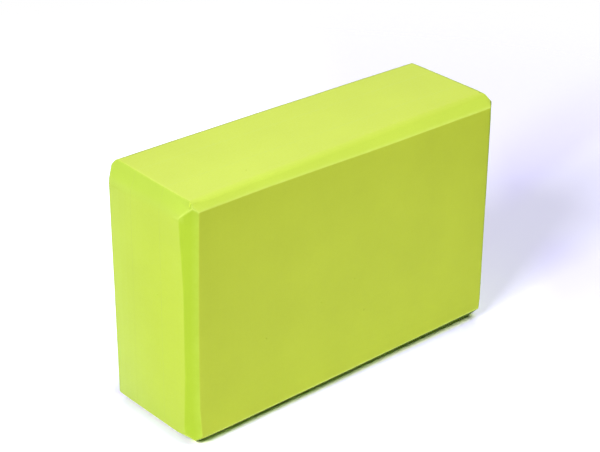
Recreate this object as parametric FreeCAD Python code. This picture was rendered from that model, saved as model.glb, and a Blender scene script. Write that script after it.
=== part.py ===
import FreeCAD, Part
import itertools
import os

# Foam yoga block, standing on one long narrow side.
# Flat foam sheets are glued into a slab, the slab is cut to a brick, and a bevel is then trimmed along
# every arris, so sheets and glue films all end flush with the same trimmed faces.
# Origin: middle of the face it stands on. +X runs along the length, +Y from the front broad face to the
# back one, +Z up. All sizes are in millimetres.

# Brick
block_length = 230.0
block_height = 150.0

# Sheets and the glue films between them, from front to back
ply_names = ["front_ply", "middle_ply", "back_ply"]
bond_names = ["front_bond", "rear_bond"]
sheet_thickness = 24.9
bond_thickness = 0.15

# Bevel width on both faces of an arris that isn't listed below
bevel_width = 7.0

# Top front arris: narrow on the top at the left end, widening to the right, even down the front
top_front_bevel_at_left = 2.5
top_front_bevel_at_right = 7.5
front_top_bevel = 6.6

# Top left arris: narrow on the top, wide down the end
top_left_bevel = 4.2
left_top_bevel = 11.0

# Upright arris between the front and the left end
front_left_bevel = 6.0
left_front_bevel = 6.4

block_depth = len(ply_names) * sheet_thickness + len(bond_names) * bond_thickness
block_centre = FreeCAD.Vector(0, 0, block_height / 2)

outward = {
    "left": FreeCAD.Vector(-1, 0, 0),
    "right": FreeCAD.Vector(1, 0, 0),
    "front": FreeCAD.Vector(0, -1, 0),
    "back": FreeCAD.Vector(0, 1, 0),
    "base": FreeCAD.Vector(0, 0, -1),
    "top": FreeCAD.Vector(0, 0, 1),
}

# Width on the first face, beside the second, at the two ends of the arris: left, front or base end first
trimmed_width = {
    ("top", "front"): (top_front_bevel_at_left, top_front_bevel_at_right),
    ("front", "top"): (front_top_bevel, front_top_bevel),
    ("top", "left"): (top_left_bevel, top_left_bevel),
    ("left", "top"): (left_top_bevel, left_top_bevel),
    ("front", "left"): (front_left_bevel, front_left_bevel),
    ("left", "front"): (left_front_bevel, left_front_bevel),
}


def half_extent(direction):
    """Distance from the brick's centre to its face in an axis direction."""
    across = abs(direction.x) * block_length + abs(direction.y) * block_depth
    return (across + abs(direction.z) * block_height) / 2


def wedge_section(corner, into_a, into_b, width_a, width_b):
    """Triangle over one end of an arris, reaching past both faces so that the cut is clean."""
    past_a = corner + into_a * (2 * width_a) - into_b * width_b
    past_b = corner + into_b * (2 * width_b) - into_a * width_a
    outside = corner - into_a * width_a - into_b * width_b
    return Part.makePolygon([past_a, past_b, outside, past_a])


def bevel_wedge(face_a, face_b):
    """The foam that the trimming takes off the arris between two faces."""
    normal_a = outward[face_a]
    normal_b = outward[face_b]
    normal_c = normal_a.cross(normal_b)
    along = FreeCAD.Vector(abs(normal_c.x), abs(normal_c.y), abs(normal_c.z))
    middle = block_centre + normal_a * half_extent(normal_a) + normal_b * half_extent(normal_b)
    even = (bevel_width, bevel_width)
    widths_a = trimmed_width.get((face_a, face_b), even)
    widths_b = trimmed_width.get((face_b, face_a), even)
    sections = []
    for side, width_a, width_b in zip((-1, 1), widths_a, widths_b):
        corner = middle + along * (side * half_extent(along))
        sections.append(wedge_section(corner, -normal_b, -normal_a, width_a, width_b))
    return Part.makeLoft(sections, True, True)


def make_trimmed_brick():
    """The whole block with its twelve arrises bevelled."""
    low_corner = FreeCAD.Vector(-block_length / 2, -block_depth / 2, 0)
    brick = Part.makeBox(block_length, block_depth, block_height, low_corner)
    for face_a, face_b in itertools.combinations(outward, 2):
        if outward[face_a].dot(outward[face_b]) == 0:
            brick = brick.cut(bevel_wedge(face_a, face_b))
    return brick


def slice_of(brick, front_y, thickness):
    """The slice of the brick that one sheet or one glue film fills."""
    corner = FreeCAD.Vector(-block_length / 2, front_y, 0)
    return brick.common(Part.makeBox(block_length, thickness, block_height, corner))


def write(node, shape):
    """Writes one piece as a single solid."""
    (solid,) = shape.Solids
    solid.exportStep("parts/" + node + ".step")


os.makedirs("parts", exist_ok=True)
trimmed_brick = make_trimmed_brick()

for place, ply_name in enumerate(ply_names):
    ply_front = place * (sheet_thickness + bond_thickness) - block_depth / 2
    write(ply_name, slice_of(trimmed_brick, ply_front, sheet_thickness))

for place, bond_name in enumerate(bond_names):
    bond_front = place * (sheet_thickness + bond_thickness) + sheet_thickness - block_depth / 2
    write(bond_name, slice_of(trimmed_brick, bond_front, bond_thickness))
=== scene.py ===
import itertools
import math
import random

import bmesh
import bpy
import numpy as np
from mathutils import Euler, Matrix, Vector


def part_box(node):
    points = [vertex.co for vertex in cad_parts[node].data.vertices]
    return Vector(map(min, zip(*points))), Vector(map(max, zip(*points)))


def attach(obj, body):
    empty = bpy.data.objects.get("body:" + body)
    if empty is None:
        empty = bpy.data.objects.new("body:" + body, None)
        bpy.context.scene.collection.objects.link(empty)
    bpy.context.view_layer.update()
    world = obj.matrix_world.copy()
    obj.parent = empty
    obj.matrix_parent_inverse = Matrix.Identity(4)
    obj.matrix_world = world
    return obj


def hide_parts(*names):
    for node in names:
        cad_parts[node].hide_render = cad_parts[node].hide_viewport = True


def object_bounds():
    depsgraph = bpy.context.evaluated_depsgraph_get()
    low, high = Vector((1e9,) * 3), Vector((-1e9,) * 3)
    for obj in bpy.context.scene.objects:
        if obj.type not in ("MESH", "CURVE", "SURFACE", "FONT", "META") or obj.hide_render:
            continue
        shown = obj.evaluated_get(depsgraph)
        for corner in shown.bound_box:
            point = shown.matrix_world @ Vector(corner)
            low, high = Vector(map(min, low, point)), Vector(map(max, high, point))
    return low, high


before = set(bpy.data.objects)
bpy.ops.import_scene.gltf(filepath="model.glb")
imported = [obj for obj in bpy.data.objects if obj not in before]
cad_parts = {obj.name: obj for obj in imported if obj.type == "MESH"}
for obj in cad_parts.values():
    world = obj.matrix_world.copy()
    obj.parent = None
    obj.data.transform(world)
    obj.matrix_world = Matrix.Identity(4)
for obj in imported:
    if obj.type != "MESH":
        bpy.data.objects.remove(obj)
cad_low, cad_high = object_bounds()

bl_info = {
    "name": "Foam yoga block",
    "version": (1, 0, 0),
    "blender": (4, 5, 0),
    "location": "3D View > Sidebar > Yoga block",
    "description": "Models a laminated foam yoga block with hand-trimmed bevels on a plain studio stage",
    "category": "Object",
}

MM = 0.001
BODY = "root"
PLIES = ("front_ply", "middle_ply", "back_ply")
BONDS = ("front_bond", "rear_bond")
MASTER = "trimmed_block"

# Distance in metres within which two places count as one, and least cosine of two ways that count as one
TOUCH = 1e-6
PARALLEL = 0.9999

# A point no deeper than this lies on a face
FACE_SKIN = 0.1 * MM

# The least bend of the mesh that is an arris, and the greatest that is shaded smooth
ARRIS_ANGLE = math.radians(8)
SMOOTH_ANGLE = math.radians(40)

# The block's six faces and the way each one looks
OUTWARD = {
    "left": Vector((-1, 0, 0)),
    "right": Vector((1, 0, 0)),
    "front": Vector((0, -1, 0)),
    "back": Vector((0, 1, 0)),
    "base": Vector((0, 0, -1)),
    "top": Vector((0, 0, 1)),
}

# Bevel width on the first face beside the second, in millimetres, at places along the arris that are
# measured from its left, front or base end. An arris that isn't listed has the nominal width.
BEVEL_WIDTHS = {
    ("top", "front"): (
        (0, 1.75), (14, 2.1), (24, 2.75), (76, 4.0), (120, 5.0), (165, 6.3), (200, 7.1), (230, 7.4)
    ),
    ("front", "top"): ((0, 6.3), (50, 5.8), (95, 6.3), (130, 6.8), (230, 6.8)),
    ("top", "left"): ((0, 4.0), (14, 3.5), (35, 3.85), (65, 5.0)),
    ("left", "top"): ((0, 10.4), (75, 12.2)),
    ("left", "front"): ((10, 7.4), (25, 6.8), (45, 5.8), (95, 5.7), (112, 6.6), (128, 8.1), (140, 8.7)),
    ("front", "left"): ((8, 6.7), (25, 5.5), (65, 5.3), (100, 5.8), (136, 6.5), (144, 7.1)),
    ("top", "right"): ((0, 6.3), (75, 4.45)),
    ("top", "back"): ((0, 6.1), (115, 5.65), (230, 6.05)),
    ("left", "back"): ((0, 7.4), (150, 4.5)),
    ("left", "base"): ((7, 8.8), (14, 7.2), (75, 6.15)),
    ("front", "base"): ((0, 6.98), (10, 6.8), (28, 6.57), (115, 7.07), (230, 7.88)),
    ("base", "left"): ((0, 9.0), (30, 7.0)),
    ("base", "front"): ((0, 8.0), (30, 7.0)),
    ("front", "right"): ((0, 5.2), (150, 8.0)),
}

# Where three bevels meet at a corner, as depths in millimetres below its three faces.
# A corner that isn't listed has half the nominal bevel.
BEVEL_MEETINGS = {
    ("left", "front", "top"): (4.0, 1.83, 3.74),
    ("right", "front", "top"): (5.2, 4.1, 3.8),
    ("left", "front", "base"): (4.5, 3.5, 4.5),
    ("right", "front", "base"): (4.8, 3.8, 4.8),
}

# Bevel borders, on the first face beside the second: rounding in millimetres, how pale its arris line is,
# part rubbed wear and part painted highlight, where more than 1 only widens the pale line, and the line's
# reach on the face and on the bevel in millimetres
BORDERS = {
    ("top", "front"): (2.4, 0.0, 1.0, 1.0),
    ("left", "top"): (2.4, 0.0, 1.0, 1.0),
    ("left", "back"): (1.8, 0.1, 1.6, 1.0),
    ("top", "back"): (2.2, 0.0, 1.3, 1.0),
    ("top", "right"): (2.2, 0.0, 1.3, 1.0),
    ("front", "right"): (1.6, 0.0, 1.0, 1.0),
    ("front", "base"): (0.25, 3.0, 0.7, 0.2),
    ("front", "top"): (0.4, 0.8, 0.3, 1.7),
    ("front", "left"): (0.5, 0.24, 0.4, 4.0),
    ("left", "front"): (0.4, 0.05, 0.4, 1.0),
    ("top", "left"): (0.5, 0.3, 1.0, 0.6),
}
USUAL_BORDER = (0.6, 0.3, 0.6, 1.0)

# The same for the lines where bevels meet, at the front corners and at the back ones
FRONT_MEETING = (0.6, 0.9, 0.6, 0.8)
BACK_MEETING = (1.0, 0.1, 1.0, 1.0)

# Share of its reach over which an arris's pale line, part wear and part painted highlight, is at full
# strength
RUB_GLINT_CORE = 0.1

# Larger pores that show on the faces: place in millimetres along the face's two axes, in X, Y, Z order
SEEN_PORES = {
    "top": ((48.9, 13.9),),
    "left": ((28.2, 86.7), (31.3, 78.0), (35.9, 55.4), (53.4, 134.3)),
    "front": ((79.7, 95.3), (116.6, 67.1), (91.8, 60.6), (51.7, 52.7), (124.6, 43.9)),
}

# A pore's depth and its bottom's radius as shares of its diameter, and the seed that places hidden pores
PORE_DEPTH = 0.55
PORE_BOTTOM = 0.25
PORE_SEED = 11

# Painted shading across a face, lighter or darker as the lamps and the floor light it, and painted sheen
# that
# makes it bluer: each amount goes with the powers of two shares across it, which are up and back on an end,
# along and up on a broad face, along and back on a long side or a bevel
END_PAINTED_SHADING = {(0, 0): 0.925, (1, 0): 0.27, (2, 0): -0.125, (0, 1): -0.145, (0, 2): 0.18}
END_PAINTED_SHEEN = {(0, 0): 0.11, (1, 0): -0.8, (2, 0): 0.9, (0, 2): 0.9, (1, 1): -0.67}
BROAD_PAINTED_SHADING = {(0, 0): 0.939, (1, 0): 0.19, (2, 0): -0.21, (1, 1): 0.125, (0, 1): 0.16, (0, 2): -0.16}
BROAD_PAINTED_SHEEN = {(0, 0): 1.0, (1, 0): 0.26, (2, 0): -0.34, (0, 1): 0.14, (0, 2): -0.27}
SIDE_PAINTED_SHADING = {(0, 0): 1.006, (1, 0): -0.02, (0, 2): -0.04}
SIDE_PAINTED_SHEEN = {(0, 0): 0.6, (1, 0): -1.0, (0, 1): -0.55, (1, 1): 0.55}
LONG_BEVEL_PAINTED_SHADING = {(0, 0): 1.03, (1, 0): -0.05}
LONG_BEVEL_PAINTED_SHEEN = {(0, 0): 1.06, (1, 0): -0.1}

# A mesh face that leans this much to each of two faces lies on their bevel
BEVEL_LEAN = 0.15

# Foam colour turns from a face's to its bevel's over a share of the border's rounding. A border with more
# rounding than SOFT_BORDER, in millimetres, is a soft one.
SHARP_TURN = 0.6
SOFT_TURN = 0.8
SOFT_BORDER = 1.0

# Painted sheen: blue that a border gains for each millimetre of its rounding, and how suddenly the painted
# shade of a dark outline starts
BORDER_PAINTED_SHEEN = 0.02
OUTLINE_ONSET = 60

# Ranges of the textures' values that the foam and the glue vary with, and how strong a streak of glue is
NOISE_RANGE = (0.3, 0.7)
WEAR_GLINT_RANGE = (0.35, 0.65)
CELL_RANGE = (0.1, 0.7)
GLUE_STREAK = 0.06

# Places that the floor's ramps are measured from; the shadow's distances are measured in shadow_fringe
FLOOR_EDGES = {
    "left": cad_low.x,
    "right": cad_high.x,
    "front": cad_low.y,
    "back": cad_high.y,
    "shadow": 0.0,
}

# Where the floor's painted light and shade change as the camera sees it: the place measured from, then
# start and end in millimetres
FLOOR_RAMPS = {
    "left_near": ("left", 1.7, 5),
    "left_far": ("left", -12, 0),
    "beside": ("left", 1, 5),
    "beside_far": ("left", 0, 70),
    "behind_left": ("left", 0, 160),
    "behind_near": ("back", 0, 40),
    "behind_far": ("back", 160, 260),
    "front": ("front", 5, 10),
    "under_front": ("front", 1.5, 5),
    "under_back": ("front", 10, 12),
    "under_left": ("left", 6, 12),
    "under_right": ("right", -14, -3),
    "end_outer": ("left", -4, 4),
    "end_inner": ("left", 8, 10),
    "end_back": ("back", -4, 4),
    "fringe_inner": ("shadow", 10, 35),
    "fringe_outer": ("shadow", 50, 110),
    "fringe_start": ("shadow", 80, 130),
    "fringe_stop": ("shadow", 95, 145),
    "fringe_back": ("shadow", -10, 10),
}

# How the border of the floor's painted light slants across X and Y, and how much painted light the parts
# near the block get
PAINTED_LIGHT_SLANT = (0.75, 0.66)
LEFT_NEAR_PAINTED_LIGHT = 0.45
LEFT_FAR_PAINTED_LIGHT = 0.6
FRONT_PAINTED_LIGHT = 0.9

# Each lamp's degrees round from the left end towards the front, degrees up, and width in metres
LAMPS = {
    "key": (15, 37, 0.52),
    "front": (95, 62, 0.8),
    "back": (229, 30, 1.2),
}

# The photograph's camera: place in metres, turn in degrees, and sensor width in millimetres
CAMERA_PLACE = (-0.55718, -0.62101, 0.51463)
CAMERA_TURN = (62.8049, -0.7987, -41.1333)
SENSOR_WIDTH = 36.0

# Sockets of the mix node that are used for colours
MIX_FACTOR, MIX_A, MIX_B, MIX_RESULT = 0, 6, 7, 2


class YogaBlockShape(bpy.types.PropertyGroup):
    """Sizes of the trimmed block."""

    bevel: bpy.props.FloatProperty(
        name="Bevel", description="Nominal bevel width on each face", default=7.0 * MM, unit="LENGTH"
    )
    rounding: bpy.props.FloatProperty(
        name="Rounding", description="Rounding of the softest arris", default=2.4 * MM, unit="LENGTH"
    )
    rounding_segments: bpy.props.IntProperty(
        name="Rounding segments", description="Mesh faces across a rounded arris", default=4
    )
    cell: bpy.props.FloatProperty(
        name="Cell", description="Mesh cell on the broad faces", default=5.0 * MM, unit="LENGTH"
    )
    bevel_line: bpy.props.FloatProperty(
        name="Bevel line",
        description="Spacing of the mesh lines on the bevels",
        default=0.75 * MM,
        unit="LENGTH",
    )
    bevel_lines: bpy.props.IntProperty(
        name="Bevel lines", description="Number of mesh lines on each bevel", default=12
    )
    unevenness: bpy.props.FloatProperty(
        name="Unevenness", description="How far the sawn faces wander", default=0.25 * MM, unit="LENGTH"
    )
    wander: bpy.props.FloatProperty(
        name="Wander", description="Length over which the sawn faces wander", default=60 * MM, unit="LENGTH"
    )
    pore: bpy.props.FloatProperty(
        name="Pore", description="Diameter of a large pore", default=1.2 * MM, unit="LENGTH"
    )
    hidden_pores: bpy.props.IntProperty(
        name="Hidden pores", description="Large pores on each face that has none listed", default=6
    )


class YogaBlockFinish(bpy.types.PropertyGroup):
    """Colours of foam and glue; the foam's colours per face and bevel are partly its own tone and partly
    painted light and shade.
    """

    broad: bpy.props.FloatVectorProperty(
        name="Broad face",
        description="Foam on the broad faces",
        default=(0.643, 0.775, 0.053),
        subtype="COLOR",
    )
    side: bpy.props.FloatVectorProperty(
        name="Long side",
        description="Foam on the long narrow sides",
        default=(0.577, 0.706, 0.0545),
        subtype="COLOR",
    )
    end: bpy.props.FloatVectorProperty(
        name="End",
        description="Foam on the two ends",
        default=(0.588, 0.76, 0.066),
        subtype="COLOR",
    )
    upright_bevel: bpy.props.FloatVectorProperty(
        name="Upright bevel",
        description="Foam on the upright bevels",
        default=(0.47, 0.672, 0.031),
        subtype="COLOR",
    )
    end_bevel: bpy.props.FloatVectorProperty(
        name="End bevel",
        description="Foam on the ends' bevels",
        default=(0.56, 0.767, 0.068),
        subtype="COLOR",
    )
    # Painted light: the lengthwise bevels are painted lighter to make up for their shade
    long_bevel: bpy.props.FloatVectorProperty(
        name="Long bevel",
        description="Foam on the lengthwise bevels",
        default=(0.678, 0.875, 0.075),
        subtype="COLOR",
    )
    # Painted shade: the front base bevel is painted dark where it faces the floor in shade
    painted_shade_bevel: bpy.props.FloatVectorProperty(
        name="Dark bevel",
        description="Foam on the shaded front base bevel",
        default=(0.06, 0.14, 0.001),
        subtype="COLOR",
    )
    # Painted sheen: how much bluer an end and a long side are painted where their sheen shows
    end_painted_sheen: bpy.props.FloatProperty(
        name="End fade", description="How much bluer an end is at its lower back corner", default=0.08
    )
    side_painted_sheen: bpy.props.FloatProperty(
        name="Side fade", description="How much bluer a long side is at its left", default=0.027
    )
    # Painted shade: a dark outline on the roundings of the top's back and right borders
    outline: bpy.props.FloatProperty(
        name="Outline",
        description="How much darker the top's borders are at the back and right",
        default=0.35,
    )
    bevel_reach: bpy.props.FloatProperty(
        name="Bevel reach",
        description="How far from an arris its bevel's colour goes",
        default=7 * MM,
        unit="LENGTH",
    )
    # Pale arrises: part rubbed wear, part a painted highlight where the arrises catch the light
    rubbed_glint: bpy.props.FloatVectorProperty(
        name="Rubbed arris",
        description="Foam on the rubbed arrises",
        default=(0.77, 0.96, 0.15),
        subtype="COLOR",
    )
    cell_shade: bpy.props.FloatVectorProperty(
        name="Cell shade",
        description="Foam between the fine cells",
        default=(0.3, 0.42, 0.02),
        subtype="COLOR",
    )
    glue: bpy.props.FloatVectorProperty(
        name="Glue",
        description="Glue film at the seams",
        default=(0.52, 0.68, 0.07),
        subtype="COLOR",
    )


class YogaBlockStage(bpy.types.PropertyGroup):
    """Floor, light and camera."""

    floor: bpy.props.FloatVectorProperty(
        name="Floor",
        description="Floor paper",
        default=(0.9, 0.9, 0.9),
        subtype="COLOR",
    )
    floor_seen: bpy.props.FloatVectorProperty(
        name="Floor as seen",
        description="Floor paper as the camera sees it, bleached",
        default=(1.0, 1.0, 1.015),
    )
    # Painted light: the floor under the front bevel is painted brighter, standing in for light the foam
    # bounces there
    floor_painted_bounce: bpy.props.FloatVectorProperty(
        name="Floor under",
        description="Floor paper as seen under the front bevel, lit by the foam",
        default=(2.45, 2.55, 1.3),
    )
    # Painted shade: the floor along the left end is painted darker, less green and bluer
    floor_beside_painted_shade: bpy.props.FloatVectorProperty(
        name="Floor beside",
        description="Floor paper as seen along the left end",
        default=(0.975, 0.888, 1.12),
    )
    # Painted shadow: the floor beside the shadow's core is painted darker, widening its soft edge
    floor_painted_penumbra: bpy.props.FloatVectorProperty(
        name="Floor fringe",
        description="Floor paper as seen at the shadow's soft edge",
        default=(0.925, 0.91, 1.0),
    )
    # Painted light that washes out the lamps' shadows on the floor
    floor_painted_light: bpy.props.FloatProperty(
        name="Floor bleach", description="How much whiter the bleached part of the floor is", default=1.45
    )
    floor_radius: bpy.props.FloatProperty(
        name="Floor radius", description="Where the floor paper ends", default=0.65, unit="LENGTH"
    )
    floor_fade: bpy.props.FloatProperty(
        name="Floor fade", description="Rim over which the floor fades out", default=0.3, unit="LENGTH"
    )
    floor_give: bpy.props.FloatProperty(
        name="Floor give",
        description="How far the block's wavy base sinks into the paper",
        default=0.15 * MM,
        unit="LENGTH",
    )
    tint: bpy.props.FloatVectorProperty(
        name="Tint",
        description="Colour of the lamps",
        default=(0.805, 0.794, 1.0),
        subtype="COLOR",
    )
    key: bpy.props.FloatProperty(
        name="Key", description="Softbox at the left", default=25.4, unit="POWER"
    )
    front: bpy.props.FloatProperty(
        name="Front fill", description="Softbox over the camera", default=15.4, unit="POWER"
    )
    back: bpy.props.FloatProperty(
        name="Back fill", description="Softbox at the back right", default=17.2, unit="POWER"
    )
    lamp_distance: bpy.props.FloatProperty(
        name="Lamp distance", description="From the block's middle to each lamp", default=1.6, unit="LENGTH"
    )
    lens: bpy.props.FloatProperty(
        name="Lens", description="Focal length in millimetres", default=98.02
    )


def unit(axis):
    """The unit vector along one axis."""
    return Vector(1.0 if i == axis else 0.0 for i in range(3))


def corner_towards(way):
    """The corner of the CAD box that lies towards a way, on the low side where the way has no part."""
    return Vector(cad_high[i] if way[i] > 0 else cad_low[i] for i in range(3))


def face_offset(face, point):
    """How far a point lies inside one of the block's faces."""
    normal = OUTWARD[face]
    return (corner_towards(normal) - point).dot(normal)


def adjoining(face):
    """The four faces that share an arris with a face."""
    return [other for other in OUTWARD if OUTWARD[other].dot(OUTWARD[face]) == 0]


def bevel_width(face_a, face_b, point, nominal):
    """Width of the bevel on face_a beside face_b, at the place of a point."""
    profile = BEVEL_WIDTHS.get((face_a, face_b))
    if profile is None:
        return nominal
    across = OUTWARD[face_a].cross(OUTWARD[face_b])
    axis = max(range(3), key=lambda i: abs(across[i]))
    along = (point[axis] - cad_low[axis]) / MM
    places, widths = zip(*profile)
    return float(np.interp(along, places, widths)) * MM


def deselect_all():
    """Leaves no object selected."""
    bpy.ops.object.select_all(action="DESELECT")


def make_active(obj):
    """Selects one object alone and makes it the active one."""
    deselect_all()
    obj.select_set(True)
    bpy.context.view_layer.objects.active = obj


def apply_modifier(obj, kind, **settings):
    """Adds one modifier with its settings and applies it."""
    make_active(obj)
    modifier = obj.modifiers.new(kind.title(), kind)
    for name, value in settings.items():
        setattr(modifier, name, value)
    bpy.ops.object.modifier_apply(modifier=modifier.name)


def cut(point, normal, **options):
    """Cuts the whole mesh in edit mode along a plane."""
    bpy.ops.mesh.select_all(action="SELECT")
    bpy.ops.mesh.bisect(plane_co=point, plane_no=normal, threshold=TOUCH, **options)


def cut_bevels(width):
    """Saws the twelve arrises off at the nominal width."""
    for face_a, face_b in itertools.combinations(OUTWARD, 2):
        normal_a, normal_b = OUTWARD[face_a], OUTWARD[face_b]
        if normal_a.dot(normal_b) == 0:
            way = normal_a + normal_b
            point = corner_towards(way) - normal_a * width
            cut(point, way.normalized(), use_fill=True, clear_outer=True)


def cut_cells(size, margin):
    """Rules cell lines across the block, clear of the bevels by a margin."""
    for axis in range(3):
        low, high = cad_low[axis] + margin, cad_high[axis] - margin
        count = round((high - low) / size) + 1
        for place in np.linspace(low, high, count):
            cut(unit(axis) * float(place), unit(axis))


def cut_bevel_lines(spacing, count):
    """Rules lines across the bevels at even depths below the block's faces."""
    for axis in range(3):
        for step in range(1, count + 1):
            for place in (cad_low[axis] + step * spacing, cad_high[axis] - step * spacing):
                cut(unit(axis) * place, unit(axis))


def trim_by_hand(mesh, nominal):
    """Moves the bevels' borders and meeting points from their nominal places to the uneven real ones."""
    for vertex in mesh.vertices:
        point = vertex.co.copy()
        depth = {face: face_offset(face, point) for face in OUTWARD}
        for face_a, face_b in itertools.permutations(OUTWARD, 2):
            if abs(depth[face_a]) < TOUCH and abs(depth[face_b] - nominal) < TOUCH:
                vertex.co -= OUTWARD[face_b] * (bevel_width(face_a, face_b, point, nominal) - nominal)
        for faces, places in BEVEL_MEETINGS.items():
            if all(abs(depth[face] - nominal / 2) < TOUCH for face in faces):
                for face, place in zip(faces, places):
                    vertex.co -= OUTWARD[face] * (place * MM - nominal / 2)


def border_of(edge):
    """The face and the bevel's far face on the two sides of an edge, or None where two bevels meet."""
    for flat, bevel in itertools.permutations(edge.link_faces, 2):
        for face in OUTWARD:
            if flat.normal.dot(OUTWARD[face]) > PARALLEL:
                return face, max(adjoining(face), key=lambda other: bevel.normal.dot(OUTWARD[other]))
    return None


def mark_arrises(mesh, shape):
    """Weights each arris for its rounding, and returns the ends, pale line (part wear, part painted
    highlight) and two reaches of each.
    """
    work = bmesh.new()
    work.from_mesh(mesh)
    work.normal_update()
    weight = work.edges.layers.float.new("bevel_weight_edge")
    arrises = []
    for edge in work.edges:
        if edge.calc_face_angle() > ARRIS_ANGLE:
            start, end = (np.array(vertex.co) for vertex in edge.verts)
            border = border_of(edge)
            rounding, *wear_glint = BORDERS.get(border, USUAL_BORDER)
            if border is None:
                rounding, *wear_glint = FRONT_MEETING if start[1] < 0 else BACK_MEETING
            edge[weight] = rounding * MM / shape.rounding
            arrises.append((start, end, *wear_glint))
    work.to_mesh(mesh)
    work.free()
    return arrises


def write_rub_glint(mesh, arrises):
    """Stores how pale each vertex's arris line is, part rubbed wear and part painted highlight, by its
    distance from the arrises.
    """
    points = np.array([vertex.co for vertex in mesh.vertices])
    inside = np.minimum(points - np.array(cad_low), np.array(cad_high) - points).min(axis=1)
    flat = inside < FACE_SKIN
    rub = np.zeros(len(points))
    for start, end, amount, face_reach, bevel_reach in arrises:
        run = end - start
        share = np.clip((points - start) @ run / (run @ run), 0, 1)
        distance = np.linalg.norm(points - start - share[:, None] * run, axis=1)
        reach = np.where(flat, face_reach, bevel_reach) * MM
        rub = np.maximum(rub, amount * np.clip(1 + RUB_GLINT_CORE - distance / reach, 0, 1))
    mesh.attributes.new("rub", "FLOAT", "POINT").data.foreach_set("value", rub)


def slow_change(terms, first, second):
    """Sums amounts that go with powers of two shares across a face."""
    return sum(amount * first**i * second**j for (i, j), amount in terms.items())


def clamp(value):
    """Limits a value to the range from 0 to 1."""
    return min(1.0, max(0.0, value))


def foam_colour(polygon, finish):
    """Foam colour with painted light and shade of one mesh face, by the kind of face or bevel that it lies
    on.
    """
    depth = {face: face_offset(face, polygon.center) for face in OUTWARD}
    first, second = sorted(OUTWARD, key=depth.get)[:2]
    lean = {face: polygon.normal.dot(OUTWARD[face]) for face in OUTWARD}
    sides = sorted(OUTWARD, key=lambda face: lean[face] * (1 + OUTWARD[face].z ** 2))[-2:]
    if min(lean[face] for face in sides) > BEVEL_LEAN:
        first, second = sorted(sides, key=depth.get)
    along = depth["left"] / (depth["left"] + depth["right"])
    back = depth["front"] / (depth["front"] + depth["back"])
    up = depth["base"] / (depth["base"] + depth["top"])
    way = OUTWARD[first]
    # Painted shading and painted sheen across the face
    if way.x:
        flat = Vector(finish.end) * slow_change(END_PAINTED_SHADING, up, back)
        flat.z += finish.end_painted_sheen * slow_change(END_PAINTED_SHEEN, up, back)
    elif way.y:
        flat = Vector(finish.broad) * slow_change(BROAD_PAINTED_SHADING, along, up)
        flat.z *= slow_change(BROAD_PAINTED_SHEEN, along, up)
    else:
        flat = Vector(finish.side) * slow_change(SIDE_PAINTED_SHADING, along, back)
        flat.z += finish.side_painted_sheen * slow_change(SIDE_PAINTED_SHEEN, along, back)
    if depth[second] > 2 * finish.bevel_reach:
        return flat
    across = way.cross(OUTWARD[second])
    # Painted shade on the front base bevel
    if {first, second} == {"front", "base"}:
        bevel = Vector(finish.painted_shade_bevel)
    elif across.x:
        bevel = Vector(finish.long_bevel) * slow_change(LONG_BEVEL_PAINTED_SHADING, along, back)
        bevel.z *= slow_change(LONG_BEVEL_PAINTED_SHEEN, along, back)
    else:
        bevel = Vector(finish.end_bevel if across.y else finish.upright_bevel)
    rounding = BORDERS.get((first, second), USUAL_BORDER)[0]
    share = clamp(depth[first] / (SHARP_TURN * rounding * MM))
    turn = share
    if rounding > SOFT_BORDER:
        turn = math.sqrt(clamp(depth[first] / (SOFT_TURN * rounding * MM)))
    colour = flat.lerp(bevel, turn)
    # Painted sheen on the rounding
    colour.z += BORDER_PAINTED_SHEEN * rounding * share * (1 - share) ** 2
    # Painted shade: the top's back and right borders are darkened along their rounding
    if first == "top" and second in ("back", "right"):
        colour *= 1 - finish.outline * clamp(OUTLINE_ONSET * share) * (1 - share)
    return colour


def write_colour(mesh, finish):
    """Stores each mesh face's foam colour with its painted light and shade."""
    colours = [(*foam_colour(polygon, finish), 1.0) for polygon in mesh.polygons]
    attribute = mesh.attributes.new("foam_colour", "FLOAT_COLOR", "FACE")
    attribute.data.foreach_set("color", np.array(colours).ravel())


def colour_seams(mesh, finish):
    """Gives the faces that a slice has opened the broad faces' foam colour."""
    for item in mesh.attributes["foam_colour"].data:
        if sum(item.color) == 0:
            item.color = (*finish.broad, 1.0)


def pore_points(shape):
    """Where the large pores are, face by face."""
    dice = random.Random(PORE_SEED)
    for face, normal in OUTWARD.items():
        axes = [i for i in range(3) if normal[i] == 0]
        places = SEEN_PORES.get(face)
        if places is None:
            margin = 2 * shape.bevel / MM
            spans = [(cad_high[i] - cad_low[i]) / MM for i in axes]
            places = [
                [dice.uniform(margin, span - margin) for span in spans]
                for _ in range(shape.hidden_pores)
            ]
        for place in places:
            point = corner_towards(normal)
            for axis, along in zip(axes, place):
                point[axis] = cad_low[axis] + along * MM
            yield point


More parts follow.
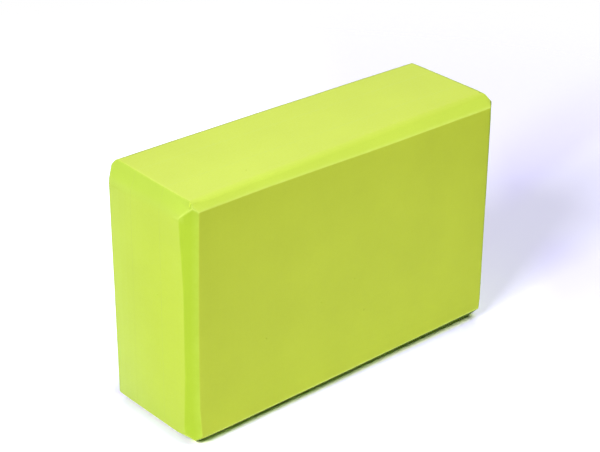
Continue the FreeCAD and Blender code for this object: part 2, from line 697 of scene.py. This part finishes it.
def press_pores(block, shape):
    """Opens the large pores as small round craters in the cells where they lie."""
    mesh = block.data
    pores = {}
    for point in pore_points(shape):
        index = block.closest_point_on_mesh(point)[3]
        pores[index] = point
    for kind in (mesh.vertices, mesh.edges, mesh.polygons):
        kind.foreach_set("select", [False] * len(kind))
    for index in pores:
        mesh.polygons[index].select = True
    centres = [mesh.polygons[index].center.copy() for index in pores]
    normals = [mesh.polygons[index].normal.copy() for index in pores]
    points = list(pores.values())
    make_active(block)
    bpy.ops.object.mode_set(mode="EDIT")
    bpy.ops.mesh.select_mode(type="FACE")
    bpy.ops.mesh.inset(thickness=(shape.cell - shape.pore) / 2, use_individual=True, use_even_offset=True)
    bpy.ops.mesh.subdivide(number_cuts=1)
    work = bmesh.from_edit_mesh(mesh)
    for vertex in (vertex for vertex in work.verts if vertex.select):
        place = min(range(len(points)), key=lambda i: (vertex.co - centres[i]).length)
        away = vertex.co - centres[place]
        level = points[place] - normals[place] * (points[place] - centres[place]).dot(normals[place])
        if away.length < shape.pore * PORE_BOTTOM:
            vertex.co = level - normals[place] * shape.pore * PORE_DEPTH
        else:
            vertex.co = level + away.normalized() * shape.pore / 2
    bmesh.update_edit_mesh(mesh)
    bpy.ops.object.mode_set(mode="OBJECT")


def shape_block(shape, finish):
    """The whole block: a brick with sawn bevels, hand-trimmed, eased along its arrises, wavy and porous."""
    bpy.ops.mesh.primitive_cube_add(size=1, location=(cad_low + cad_high) / 2, scale=cad_high - cad_low)
    block = bpy.context.object
    block.name = MASTER
    bpy.ops.object.transform_apply(location=True, rotation=True, scale=True)
    margin = 2 * shape.bevel
    bpy.ops.object.mode_set(mode="EDIT")
    cut_bevels(shape.bevel)
    cut_cells(2 * shape.cell, margin)
    bpy.ops.object.mode_set(mode="OBJECT")
    trim_by_hand(block.data, shape.bevel)
    arrises = mark_arrises(block.data, shape)
    apply_modifier(
        block,
        "BEVEL",
        width=shape.rounding,
        segments=shape.rounding_segments,
        limit_method="WEIGHT",
        use_clamp_overlap=False,
    )
    bpy.ops.object.mode_set(mode="EDIT")
    cut_cells(shape.cell, margin)
    cut_bevel_lines(shape.bevel_line, shape.bevel_lines)
    bpy.ops.mesh.select_all(action="SELECT")
    bpy.ops.mesh.normals_make_consistent(inside=False)
    bpy.ops.object.mode_set(mode="OBJECT")
    write_rub_glint(block.data, arrises)
    write_colour(block.data, finish)
    wander = bpy.data.textures.new("sawn_wander", "CLOUDS")
    wander.noise_scale = shape.wander
    wander.noise_depth = 1
    apply_modifier(block, "DISPLACE", texture=wander, texture_coords="LOCAL", strength=shape.unevenness)
    press_pores(block, shape)


def slice_piece(node, name):
    """Copies the block and slices the copy to the thickness of one CAD node."""
    low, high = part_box(node)
    master = bpy.data.objects[MASTER]
    piece = bpy.data.objects.new(name, master.data.copy())
    piece.data.name = name
    bpy.context.scene.collection.objects.link(piece)
    make_active(piece)
    bpy.ops.object.mode_set(mode="EDIT")
    if low.y > cad_low.y + TOUCH:
        cut((0, low.y, 0), (0, -1, 0), use_fill=True, clear_outer=True)
    if high.y < cad_high.y - TOUCH:
        cut((0, high.y, 0), (0, 1, 0), use_fill=True, clear_outer=True)
    bpy.ops.object.mode_set(mode="OBJECT")
    bpy.ops.object.shade_smooth_by_angle(angle=SMOOTH_ANGLE)
    apply_modifier(piece, "WEIGHTED_NORMAL", keep_sharp=True)
    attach(piece, BODY)
    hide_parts(node)
    return piece


def feed(tree, socket, value):
    """Links an output to a socket, or sets the socket to a plain value."""
    if isinstance(value, bpy.types.NodeSocket):
        tree.links.new(value, socket)
    else:
        socket.default_value = value


def add_node(tree, kind, settings=None, **inputs):
    """Adds a shader node; an input is a value or another node's output."""
    node = tree.nodes.new(kind)
    for name, value in (settings or {}).items():
        setattr(node, name, value)
    for name, value in inputs.items():
        feed(tree, node.inputs[name], value)
    return node


def add_math(tree, operation, first, second):
    """Adds a math node on two values or outputs and returns its output."""
    node = tree.nodes.new("ShaderNodeMath")
    node.operation = operation
    for socket, value in zip(node.inputs, (first, second)):
        feed(tree, socket, value)
    return node.outputs[0]


def product(tree, first, *others):
    """Multiplies values or outputs together and returns the last output."""
    for other in others:
        first = add_math(tree, "MULTIPLY", first, other)
    return first


def mix_colour(tree, factor, first, second):
    """Mixes two colours, each a value or an output, by the output that is the factor."""
    node = tree.nodes.new("ShaderNodeMix")
    node.data_type = "RGBA"
    tree.links.new(factor, node.inputs[MIX_FACTOR])
    for index, colour in ((MIX_A, first), (MIX_B, second)):
        if not isinstance(colour, bpy.types.NodeSocket):
            colour = (*colour, 1.0)
        feed(tree, node.inputs[index], colour)
    return node.outputs[MIX_RESULT]


def remap(tree, value, from_low, from_high, to_low, to_high, kind="LINEAR"):
    """Maps a value from one range to another and clamps it."""
    node = add_node(tree, "ShaderNodeMapRange", {"interpolation_type": kind}, Value=value)
    bounds = {"From Min": from_low, "From Max": from_high, "To Min": to_low, "To Max": to_high}
    for name, bound in bounds.items():
        node.inputs[name].default_value = bound
    return node.outputs["Result"]


def scale_colour(tree, colour, factor):
    """Adds a node that scales a colour by an output and returns its output."""
    node = add_node(tree, "ShaderNodeVectorMath", {"operation": "SCALE"}, Vector=colour, Scale=factor)
    return node.outputs["Vector"]


def scaled(colour, factor):
    """A plain colour times a factor."""
    return tuple(channel * factor for channel in colour)


def new_material(name):
    """A material with an empty Principled shader on its output."""
    material = bpy.data.materials.new(name)
    material.use_nodes = True
    tree = material.node_tree
    tree.nodes.clear()
    shader = tree.nodes.new("ShaderNodeBsdfPrincipled")
    output = tree.nodes.new("ShaderNodeOutputMaterial")
    tree.links.new(shader.outputs["BSDF"], output.inputs["Surface"])
    return material, tree, shader


def foam_material(finish):
    """Matt closed-cell foam: the stored colours with their painted light and shade, cloudy, with fine cells
    and paler arrises that are part rubbed wear and part painted highlight.
    """
    material, tree, shader = new_material("lime_foam")
    place = tree.nodes.new("ShaderNodeTexCoord").outputs["Object"]
    clouds = add_node(tree, "ShaderNodeTexNoise", Vector=place, Scale=22.0, Detail=3.0)
    grain = add_node(tree, "ShaderNodeTexNoise", Vector=place, Scale=900.0, Detail=2.0)
    cells = add_node(tree, "ShaderNodeTexVoronoi", Vector=place, Scale=1500.0)
    rub = add_node(tree, "ShaderNodeAttribute", {"attribute_name": "rub"}).outputs["Fac"]
    foam = add_node(tree, "ShaderNodeAttribute", {"attribute_name": "foam_colour"}).outputs["Color"]
    cloudy = scale_colour(tree, foam, remap(tree, clouds.outputs["Fac"], *NOISE_RANGE, 0.97, 1.03))
    walls = remap(tree, cells.outputs["Distance"], *CELL_RANGE, 0.0, 0.06)
    celled = mix_colour(tree, walls, cloudy, finish.cell_shade)
    wear_glint = add_node(tree, "ShaderNodeTexNoise", Vector=place, Scale=160.0, Detail=2.0)
    edge = product(tree, rub, remap(tree, wear_glint.outputs["Fac"], *WEAR_GLINT_RANGE, 0.45, 0.9))
    tree.links.new(mix_colour(tree, edge, celled, finish.rubbed_glint), shader.inputs["Base Color"])
    rough = remap(tree, grain.outputs["Fac"], *NOISE_RANGE, 0.55, 0.75)
    tree.links.new(rough, shader.inputs["Roughness"])
    bump = add_node(tree, "ShaderNodeBump", Strength=0.25, Distance=0.15 * MM, Height=grain.outputs["Fac"])
    tree.links.new(bump.outputs["Normal"], shader.inputs["Normal"])
    shader.inputs["Specular IOR Level"].default_value = 0.12
    shader.inputs["Sheen Weight"].default_value = 0.12
    shader.inputs["Sheen Roughness"].default_value = 0.5
    shader.inputs["Sheen Tint"].default_value = (0.85, 1.0, 0.1, 1.0)
    return material


def glue_material(finish):
    """Dull film of dried glue, almost the foam's own colour."""
    material, tree, shader = new_material("dried_glue")
    place = tree.nodes.new("ShaderNodeTexCoord").outputs["Object"]
    streaks = add_node(tree, "ShaderNodeTexNoise", Vector=place, Scale=120.0, Detail=3.0)
    streak = remap(tree, streaks.outputs["Fac"], *NOISE_RANGE, 0, 1)
    dark, light = (scaled(finish.glue, level) for level in (1 - GLUE_STREAK, 1 + GLUE_STREAK))
    tree.links.new(mix_colour(tree, streak, dark, light), shader.inputs["Base Color"])
    rough = remap(tree, streaks.outputs["Fac"], *NOISE_RANGE, 0.5, 0.65)
    tree.links.new(rough, shader.inputs["Roughness"])
    shader.inputs["Specular IOR Level"].default_value = 0.3
    return material


def seen_by_camera(tree):
    """One for rays that the eye sees, straight, mirrored or through glass; otherwise nought."""
    path = tree.nodes.new("ShaderNodeLightPath").outputs
    mirrored = add_math(tree, "MAXIMUM", path["Is Glossy Ray"], path["Is Transmission Ray"])
    return add_math(tree, "MAXIMUM", path["Is Camera Ray"], mirrored)


def ramp(tree, value, name, low, high, kind="LINEAR"):
    """Maps a place on the floor along one of its named ramps."""
    edge, *ends = FLOOR_RAMPS[name]
    start, end = (FLOOR_EDGES[edge] + place * MM for place in ends)
    return remap(tree, value, start, end, low, high, kind)


def floor_painted_light(tree, across):
    """How much painted light the floor gets, from 0 to 1, which washes out the lamps' shadows: most to the
    left and behind, less along the front.
    """
    x_share, y_share = (product(tree, across[axis], share) for axis, share in zip("XY", PAINTED_LIGHT_SLANT))
    aside = add_math(tree, "SUBTRACT", x_share, y_share)
    left_near = ramp(tree, across["X"], "left_near", LEFT_NEAR_PAINTED_LIGHT, 0)
    left_far = ramp(tree, across["X"], "left_far", LEFT_FAR_PAINTED_LIGHT, 0)
    left = add_math(tree, "ADD", left_near, left_far)
    far = ramp(tree, across["Y"], "behind_near", 0, 1)
    near = add_math(tree, "SUBTRACT", 1, far)
    beside_near = product(tree, ramp(tree, aside, "beside", 1, 0), near)
    beside_far = product(tree, ramp(tree, aside, "beside_far", 1, 0, "SMOOTHSTEP"), far)
    beside = add_math(tree, "ADD", beside_near, beside_far)
    behind_left = ramp(tree, aside, "behind_left", 1, 0, "SMOOTHSTEP")
    behind = product(tree, ramp(tree, across["Y"], "behind_far", 0, 1), behind_left)
    along = remap(tree, across["X"], cad_low.x, cad_high.x, FRONT_PAINTED_LIGHT, 0)
    front = product(tree, ramp(tree, across["Y"], "front", 1, 0), along)
    sides = add_math(tree, "MAXIMUM", left, front)
    return add_math(tree, "MAXIMUM", sides, add_math(tree, "MAXIMUM", beside, behind))


def under_front(tree, across):
    """One for the floor under the block's front bevel, otherwise nought."""
    return product(
        tree,
        ramp(tree, across["Y"], "under_front", 0, 1),
        ramp(tree, across["Y"], "under_back", 1, 0),
        ramp(tree, across["X"], "under_left", 0, 1),
        ramp(tree, across["X"], "under_right", 1, 0),
    )


def beside_left(tree, across):
    """One for the floor along the block's left end, otherwise nought."""
    return product(
        tree,
        ramp(tree, across["X"], "end_outer", 0, 1),
        ramp(tree, across["X"], "end_inner", 1, 0),
        ramp(tree, across["Y"], "end_back", 1, 0),
    )


def shadow_fringe(tree, across):
    """One for the floor beside the core of the shadow at the right, otherwise nought."""
    way = math.radians(LAMPS["key"][0])
    along = add_math(tree, "SUBTRACT", across["X"], cad_high.x)
    aside = product(tree, across["Y"], math.cos(way))
    aside = add_math(tree, "SUBTRACT", aside, product(tree, along, math.sin(way)))
    outward = add_math(tree, "SUBTRACT", along, aside)
    front_part = ramp(tree, along, "fringe_stop", 1, 0, "SMOOTHSTEP")
    back_part = ramp(tree, aside, "fringe_back", 0, 1)
    distance = add_math(tree, "ABSOLUTE", aside, 0)
    return product(
        tree,
        ramp(tree, distance, "fringe_inner", 0, 1, "SMOOTHSTEP"),
        ramp(tree, distance, "fringe_outer", 1, 0, "SMOOTHSTEP"),
        ramp(tree, outward, "fringe_start", 0, 1, "SMOOTHSTEP"),
        add_math(tree, "MAXIMUM", front_part, back_part),
    )


def floor_material(stage):
    """White paper that keeps the block's shadow and fades out at its rim; seen from below it is clear. As
    the camera sees it, painted light washes out the lamps' other shadows and lights the floor under the
    front bevel, and painted shade lies along the left end and at the shadow's soft edge.
    """
    material = bpy.data.materials.new("white_paper")
    material.use_nodes = True
    tree = material.node_tree
    tree.nodes.clear()
    paper = tree.nodes.new("ShaderNodeBsdfDiffuse")
    place = tree.nodes.new("ShaderNodeTexCoord").outputs["Object"]
    across = add_node(tree, "ShaderNodeSeparateXYZ", Vector=place).outputs
    # Painted light that washes out the lamps' shadows on the floor
    painted_light = remap(tree, floor_painted_light(tree, across), 0, 1, 1, stage.floor_painted_light)
    # Painted shadow at the shadow's soft edge
    paper_seen = mix_colour(tree, shadow_fringe(tree, across), stage.floor_seen, stage.floor_painted_penumbra)
    # Painted shade along the left end
    paper_seen = mix_colour(tree, beside_left(tree, across), paper_seen, stage.floor_beside_painted_shade)
    # Painted light under the front bevel
    paper_seen = mix_colour(tree, under_front(tree, across), paper_seen, stage.floor_painted_bounce)
    # Paper with its painted light
    bleached = scale_colour(tree, paper_seen, painted_light)
    colour = mix_colour(tree, seen_by_camera(tree), stage.floor, bleached)
    tree.links.new(colour, paper.inputs["Color"])
    reach = add_node(tree, "ShaderNodeVectorMath", {"operation": "LENGTH"}, Vector=place).outputs["Value"]
    rim_start = stage.floor_radius - stage.floor_fade
    rim = remap(tree, reach, rim_start, stage.floor_radius, 0, 1, "SMOOTHSTEP")
    below = tree.nodes.new("ShaderNodeNewGeometry").outputs["Backfacing"]
    clear = tree.nodes.new("ShaderNodeBsdfTransparent")
    mix = tree.nodes.new("ShaderNodeMixShader")
    tree.links.new(add_math(tree, "MAXIMUM", rim, below), mix.inputs[0])
    tree.links.new(paper.outputs["BSDF"], mix.inputs[1])
    tree.links.new(clear.outputs["BSDF"], mix.inputs[2])
    output = tree.nodes.new("ShaderNodeOutputMaterial")
    tree.links.new(mix.outputs["Shader"], output.inputs["Surface"])
    return material


def add_floor(stage):
    """A round sheet of paper under the block."""
    deselect_all()
    bpy.ops.mesh.primitive_circle_add(
        vertices=64, radius=stage.floor_radius, fill_type="NGON", location=(0, 0, stage.floor_give)
    )
    floor = bpy.context.object
    bpy.ops.object.transform_apply(location=True, rotation=True, scale=True)
    floor.name = "floor"
    floor.data.materials.append(floor_material(stage))


def add_lamp(name, stage):
    """A square softbox that looks at the block's middle."""
    around, up, width = LAMPS[name]
    around, up = math.radians(around), math.radians(up)
    way = Vector((-math.cos(up) * math.cos(around), -math.cos(up) * math.sin(around), math.sin(up)))
    data = bpy.data.lights.new(name + "_softbox", "AREA")
    data.shape = "SQUARE"
    data.size = width
    data.energy = getattr(stage, name)
    data.color = stage.tint
    lamp = bpy.data.objects.new(name + "_softbox", data)
    bpy.context.scene.collection.objects.link(lamp)
    lamp.location = (cad_low + cad_high) / 2 + way * stage.lamp_distance
    lamp.rotation_euler = way.to_track_quat("Z", "Y").to_euler()


def set_world():
    """A dark room that the camera sees as white past the floor."""
    world = bpy.data.worlds.new("studio")
    bpy.context.scene.world = world
    world.use_nodes = True
    tree = world.node_tree
    tree.nodes.clear()
    room = add_node(tree, "ShaderNodeBackground", Color=(1, 1, 1, 1))
    tree.links.new(seen_by_camera(tree), room.inputs["Strength"])
    output = tree.nodes.new("ShaderNodeOutputWorld")
    tree.links.new(room.outputs[0], output.inputs["Surface"])


def add_camera(stage):
    """The camera of the photograph's view."""
    data = bpy.data.cameras.new("camera")
    data.lens = stage.lens
    data.sensor_width = SENSOR_WIDTH
    camera = bpy.data.objects.new("camera", data)
    bpy.context.scene.collection.objects.link(camera)
    camera.location = CAMERA_PLACE
    camera.rotation_euler = Euler([math.radians(angle) for angle in CAMERA_TURN])
    bpy.context.scene.camera = camera


class YOGABLOCK_OT_shape(bpy.types.Operator):
    """Model the whole trimmed block that the sheets and glue films are sliced from"""

    bl_idname = "yogablock.shape"
    bl_label = "Shape the block"

    def execute(self, context):
        deselect_all()
        shape_block(context.scene.yoga_block_shape, context.scene.yoga_block_finish)
        return {"FINISHED"}


class YOGABLOCK_OT_plies(bpy.types.Operator):
    """Slice the three foam sheets from the trimmed block"""

    bl_idname = "yogablock.plies"
    bl_label = "Slice the foam sheets"

    def execute(self, context):
        finish = context.scene.yoga_block_finish
        material = foam_material(finish)
        for node in PLIES:
            ply = slice_piece(node, node + "_foam")
            colour_seams(ply.data, finish)
            ply.data.materials.append(material)
        return {"FINISHED"}


class YOGABLOCK_OT_bonds(bpy.types.Operator):
    """Slice the two glue films from the trimmed block"""

    bl_idname = "yogablock.bonds"
    bl_label = "Slice the glue films"

    def execute(self, context):
        material = glue_material(context.scene.yoga_block_finish)
        for node in BONDS:
            film = slice_piece(node, node + "_film")
            film.data.materials.append(material)
        return {"FINISHED"}


class YOGABLOCK_OT_stage(bpy.types.Operator):
    """Set the floor, the light and the camera"""

    bl_idname = "yogablock.stage"
    bl_label = "Set the stage"

    def execute(self, context):
        stage = context.scene.yoga_block_stage
        context.scene.view_settings.view_transform = "Standard"
        add_floor(stage)
        set_world()
        for name in LAMPS:
            add_lamp(name, stage)
        add_camera(stage)
        return {"FINISHED"}


class YOGABLOCK_PT_panel(bpy.types.Panel):
    """Lists the block's steps"""

    bl_idname = "YOGABLOCK_PT_panel"
    bl_label = "Yoga block"
    bl_space_type = "VIEW_3D"
    bl_region_type = "UI"
    bl_category = "Yoga block"

    def draw(self, context):
        for step in STEPS:
            self.layout.operator(step.bl_idname)


STEPS = (YOGABLOCK_OT_shape, YOGABLOCK_OT_plies, YOGABLOCK_OT_bonds, YOGABLOCK_OT_stage)
SETTINGS = {
    "yoga_block_shape": YogaBlockShape,
    "yoga_block_finish": YogaBlockFinish,
    "yoga_block_stage": YogaBlockStage,
}
CLASSES = (*SETTINGS.values(), *STEPS, YOGABLOCK_PT_panel)


def register():
    """Registers the classes and gives the scene its settings."""
    for cls in CLASSES:
        bpy.utils.register_class(cls)
    for name, cls in SETTINGS.items():
        setattr(bpy.types.Scene, name, bpy.props.PointerProperty(type=cls))


def unregister():
    """Takes the settings and the classes away again."""
    for name in SETTINGS:
        delattr(bpy.types.Scene, name)
    for cls in reversed(CLASSES):
        bpy.utils.unregister_class(cls)


def main():
    """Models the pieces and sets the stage."""
    register()
    bpy.ops.yogablock.shape()
    bpy.ops.yogablock.plies()
    bpy.ops.yogablock.bonds()
    bpy.data.objects.remove(bpy.data.objects[MASTER])
    bpy.ops.yogablock.stage()


if __name__ == "__main__":
    main()
